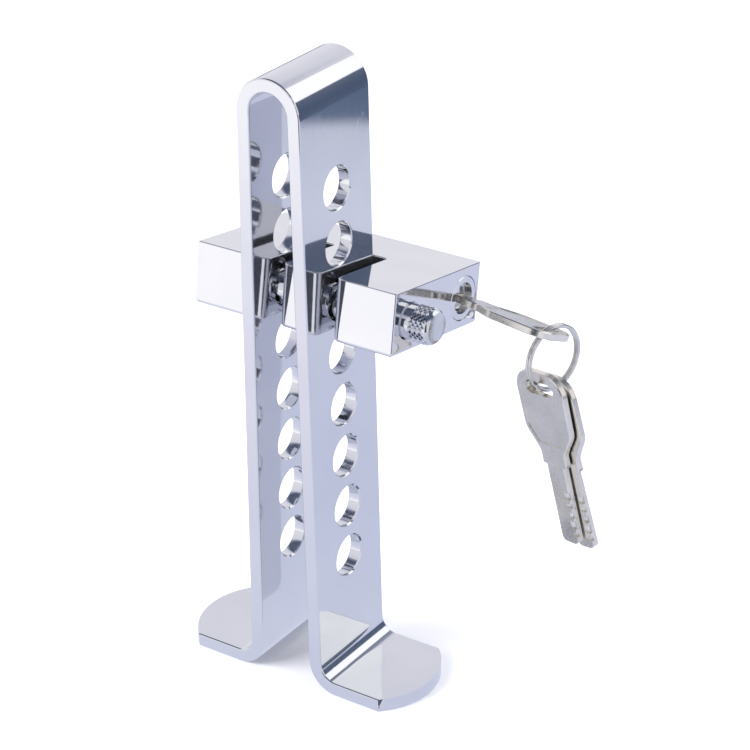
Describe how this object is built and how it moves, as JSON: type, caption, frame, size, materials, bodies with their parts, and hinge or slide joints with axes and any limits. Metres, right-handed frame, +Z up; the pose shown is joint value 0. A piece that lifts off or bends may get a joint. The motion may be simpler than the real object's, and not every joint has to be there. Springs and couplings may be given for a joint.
{
  "type": "pedal lock",
  "caption": "Chromed hairpin bracket with paired holes, a key-locked block on its cross bolt, the key and two spares on a split ring.",
  "frame": {"origin": "middle between the two legs at the undersides of the feet", "axes": "+Z up the legs, +X out of the knob and key end, +Y out of the lock's closed back"},
  "size_m": [0.1421, 0.0688, 0.228],
  "materials": {
    "strap_chrome": "bright chrome plate on bent steel bar",
    "block_chrome": "bright chrome plate on a machined steel block",
    "bolt_chrome": "chrome plate on a turned and knurled bolt",
    "black_screw": "black oxide",
    "cylinder_nickel": "nickel plate",
    "plug_nickel": "nickel plate, turned face",
    "wafer_brass": "stamped brass",
    "plain_steel": "bare machined steel",
    "spring_steel": "drawn spring wire",
    "key_nickel": "satin nickel-plated brass",
    "ring_nickel": "bright nickel-plated spring steel"
  },
  "bodies": {
    "bracket": {"u_bracket": "strap_chrome"},
    "lock": {"lock_body": "block_chrome", "bolt_stop_screw": "black_screw", "cylinder_housing": "cylinder_nickel", "cylinder_pin": "plain_steel", "latch_bore_plug": "block_chrome", "latch_spring": "spring_steel"},
    "bolt": {"locking_bolt": "bolt_chrome"},
    "plug": {"cylinder_plug": "plug_nickel", "wafers": "wafer_brass", "wafer_springs": "spring_steel", "plug_circlip": "spring_steel", "plug_cam": "plain_steel", "cam_pin": "plain_steel"},
    "latch": {"latch": "plain_steel"},
    "key": {"key_in_lock": "key_nickel"},
    "ring": {"split_ring": "ring_nickel"},
    "spare_front": {"spare_key_front": "key_nickel"},
    "spare_rear": {"spare_key_rear": "key_nickel"}
  },
  "joints": [
    {"name": "lock_tilt", "type": "hinge", "parent": "bracket", "child": "lock", "pos_m": [0, 0, 0.145], "axis": [1, 0, 0], "range_deg": [0, 17.64]},
    {"name": "bolt_slide", "type": "slide", "parent": "lock", "child": "bolt", "axis": [1, 0, 0], "range_m": [0, 0.04372]},
    {"name": "key_turn", "type": "hinge", "parent": "lock", "child": "plug", "pos_m": [0, 0.03355, 0.13978], "axis": [-1, 0, 0], "range_deg": [0, 90]},
    {"name": "latch_slide", "type": "slide", "parent": "lock", "child": "latch", "axis": [0, -0.9881, 0.1538], "range_m": [0, 0.0024], "deforming": ["latch_spring"]},
    {"name": "key_pull", "type": "slide", "parent": "plug", "child": "key", "axis": [0.9945, -0.0431, -0.0952], "range_m": [0, 0.027]},
    {"name": "ring_swing", "type": "hinge", "parent": "key", "child": "ring", "pos_m": [0.0741, 0.03336, 0.13573], "axis": [1, 0, 0], "range_deg": [0, 90]},
    {"name": "spare_front_swing", "type": "hinge", "parent": "ring", "child": "spare_front", "pos_m": [0.07356, 0.03128, 0.11527], "axis": [-0.2869, -0.9488, -0.1325], "range_deg": [-20, 20]},
    {"name": "spare_rear_swing", "type": "hinge", "parent": "ring", "child": "spare_rear", "pos_m": [0.07439, 0.03447, 0.11394], "axis": [-0.2869, -0.9488, -0.1325], "range_deg": [-20, 20]}
  ],
  "couplings": [
    {"joint": "key_turn", "follows": "latch_slide", "rad_per_m": 654.5},
    {"joint": "ring_swing", "follows": "latch_slide", "rad_per_m": 654.5}
  ]
}
